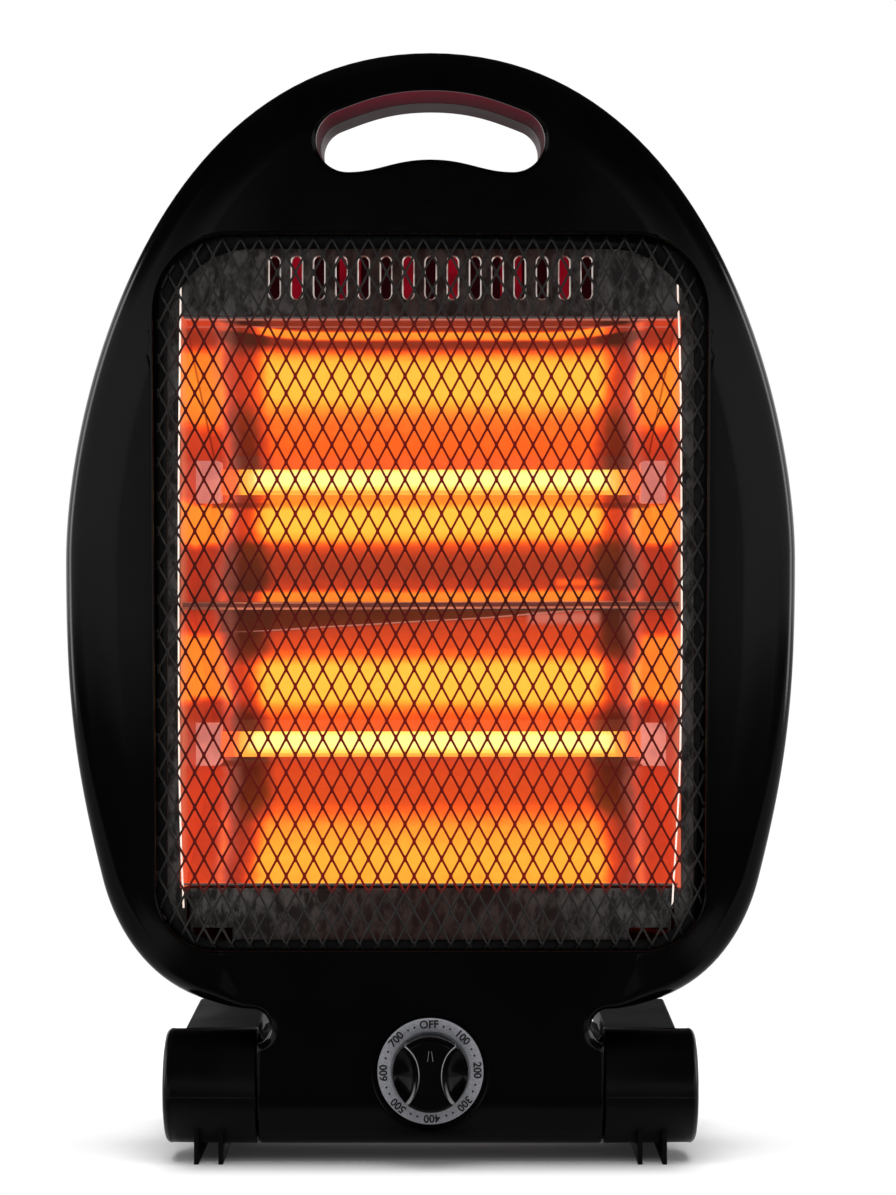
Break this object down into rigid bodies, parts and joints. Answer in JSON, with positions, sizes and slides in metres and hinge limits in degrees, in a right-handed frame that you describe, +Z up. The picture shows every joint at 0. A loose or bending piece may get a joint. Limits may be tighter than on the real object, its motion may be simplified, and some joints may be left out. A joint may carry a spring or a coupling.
{
  "type": "halogen heater",
  "caption": "Free-standing electric heater: egg-shaped housing with a carrying slot, glowing quartz tubes in bright troughs behind a diamond mesh, a rotary switch and folding feet.",
  "frame": {"origin": "on the floor, in the middle of the bounding box", "axes": "+Z up; the guard and the knob face -Y; +X is the right-hand side as the front is seen"},
  "size_m": [0.28, 0.1336, 0.426],
  "materials": {
    "black_plastic": "smooth, slightly glossy black moulding",
    "maroon_plastic": "dark maroon moulding, satin",
    "black_steel": "black stoved finish on steel mesh",
    "bright_steel": "bright rolled sheet",
    "grey_steel": "plain zinc-plated steel",
    "quartz": "clear quartz tube",
    "glowing_wire": "resistance wire at working heat",
    "ceramic": "matt steatite",
    "dial_grey": "grey dial with pale printed numbers",
    "grey_plastic": "dark grey moulding",
    "wire_sleeve": "heat-resistant sleeve"
  },
  "bodies": {
    "housing": {"front_shell": "black_plastic", "rear_cover": "maroon_plastic", "handle_liner": "maroon_plastic", "guard_grille": "black_steel", "guard_frame": "black_steel", "inner_panel": "grey_steel", "upper_reflector": "bright_steel", "lower_reflector": "bright_steel", "left_end_plate": "bright_steel", "right_end_plate": "bright_steel", "heat_shield": "grey_steel", "upper_tube": "quartz", "upper_coil": "glowing_wire", "upper_left_cap": "ceramic", "upper_left_clip": "bright_steel", "upper_right_cap": "ceramic", "upper_right_clip": "bright_steel", "lower_tube": "quartz", "lower_coil": "glowing_wire", "lower_left_cap": "ceramic", "lower_left_clip": "bright_steel", "lower_right_cap": "ceramic", "lower_right_clip": "bright_steel", "rotary_switch": "grey_plastic", "dial_ring": "dial_grey", "thermal_cutout": "grey_plastic", "tip_over_switch": "grey_plastic", "terminal_block": "ceramic", "cord_gland": "black_plastic", "wire_tilt_to_switch": "wire_sleeve", "wire_switch_to_lower": "wire_sleeve", "wire_switch_to_upper": "wire_sleeve", "wire_left_bridge": "wire_sleeve", "left_pivot_pin": "bright_steel", "right_pivot_pin": "bright_steel", "rear_screw_1": "grey_steel", "rear_screw_2": "grey_steel", "rear_screw_3": "grey_steel", "rear_screw_4": "grey_steel", "rear_screw_5": "grey_steel", "rear_screw_6": "grey_steel", "frame_screw_1": "grey_steel", "frame_screw_2": "grey_steel", "frame_screw_3": "grey_steel", "frame_screw_4": "grey_steel"},
    "knob": {"control_knob": "black_plastic", "switch_shaft": "grey_steel"},
    "left_foot": {"left_foot": "black_plastic"},
    "right_foot": {"right_foot": "black_plastic"}
  },
  "joints": [
    {"name": "knob_turn", "type": "hinge", "parent": "housing", "child": "knob", "pos_m": [0, -0.0615, 0.0365], "axis": [0, -1, 0], "continuous": true},
    {"name": "left_foot_fold", "type": "hinge", "parent": "housing", "child": "left_foot", "pos_m": [-0.085, -0.03295, 0.028], "axis": [-1, 0, 0], "range_deg": [0, 90]},
    {"name": "right_foot_fold", "type": "hinge", "parent": "housing", "child": "right_foot", "pos_m": [0.085, -0.03295, 0.028], "axis": [-1, 0, 0], "range_deg": [0, 90]}
  ]
}
